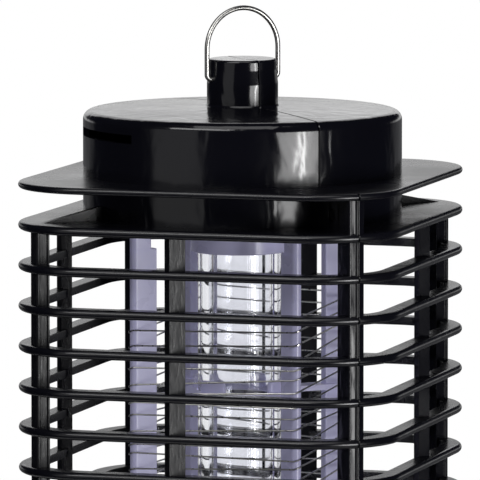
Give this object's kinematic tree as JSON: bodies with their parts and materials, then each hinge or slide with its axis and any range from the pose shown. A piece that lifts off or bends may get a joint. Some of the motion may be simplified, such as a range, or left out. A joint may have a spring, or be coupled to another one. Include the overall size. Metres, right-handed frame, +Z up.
{
  "type": "electric bug zapper",
  "caption": "Hanging lantern bug zapper: black louvred clamshell cage round a wound wire grid and clear light tube, with wire bail and pull-off catch tray.",
  "frame": {"origin": "centre of the underside of the catch tray", "axes": "+Z up along the light tube; the four cage faces look along X and Y; the mould seam runs through the +X -Y and -X +Y corners"},
  "size_m": [0.125, 0.125, 0.2559],
  "materials": {
    "black_abs": "glossy injection-moulded black ABS",
    "lilac_plastic": "milky lilac injection-moulded plastic, satin gloss",
    "clear_acrylic": "clear polished acrylic",
    "steel_wire": "bright drawn steel wire",
    "screw_steel": "zinc-plated steel",
    "circuit_board": "green solder resist on glass fibre",
    "film_case": "dipped red-brown coating",
    "dark_sleeve": "dark moulded sleeve",
    "led_package": "white LED package",
    "lead_insulation": "red PVC insulation",
    "soft_rubber": "matt black rubber"
  },
  "bodies": {
    "case": {"shell_left": "black_abs", "shell_right": "black_abs", "lamp_collar": "lilac_plastic", "lamp_tube": "clear_acrylic", "led_board": "circuit_board", "grid_fin_front": "lilac_plastic", "grid_fin_right": "lilac_plastic", "grid_fin_back": "lilac_plastic", "grid_fin_left": "lilac_plastic", "grid_brace": "lilac_plastic", "grid_base": "lilac_plastic", "grid_wire_live": "steel_wire", "grid_wire_return": "steel_wire", "grid_lead_live": "lead_insulation", "grid_lead_return": "lead_insulation", "driver_board": "circuit_board", "smoothing_capacitor": "dark_sleeve", "cord_inlet": "soft_rubber", "uv_led_1": "led_package", "uv_led_2": "led_package", "uv_led_3": "led_package", "uv_led_4": "led_package", "uv_led_5": "led_package", "led_lead_1": "lead_insulation", "led_lead_2": "lead_insulation", "film_capacitor_1": "film_case", "film_capacitor_2": "film_case", "film_capacitor_3": "film_case", "film_capacitor_4": "film_case", "diode_1": "dark_sleeve", "diode_2": "dark_sleeve", "diode_3": "dark_sleeve", "diode_4": "dark_sleeve", "resistor_1": "film_case", "resistor_2": "film_case", "board_screw_1": "screw_steel", "board_screw_2": "screw_steel", "case_screw_1": "screw_steel", "case_screw_2": "screw_steel", "case_screw_3": "screw_steel", "case_screw_4": "screw_steel"},
    "bail": {"bail": "steel_wire"},
    "tray": {"catch_tray": "black_abs"}
  },
  "joints": [
    {"name": "bail_swing", "type": "hinge", "parent": "case", "child": "bail", "pos_m": [0, 0, 0.2325], "axis": [0.7071, 0.7071, 0], "range_deg": [-108, 108]},
    {"name": "tray_drop", "type": "slide", "parent": "case", "child": "tray", "axis": [0, 0, -1], "range_m": [0, 0.03]}
  ]
}
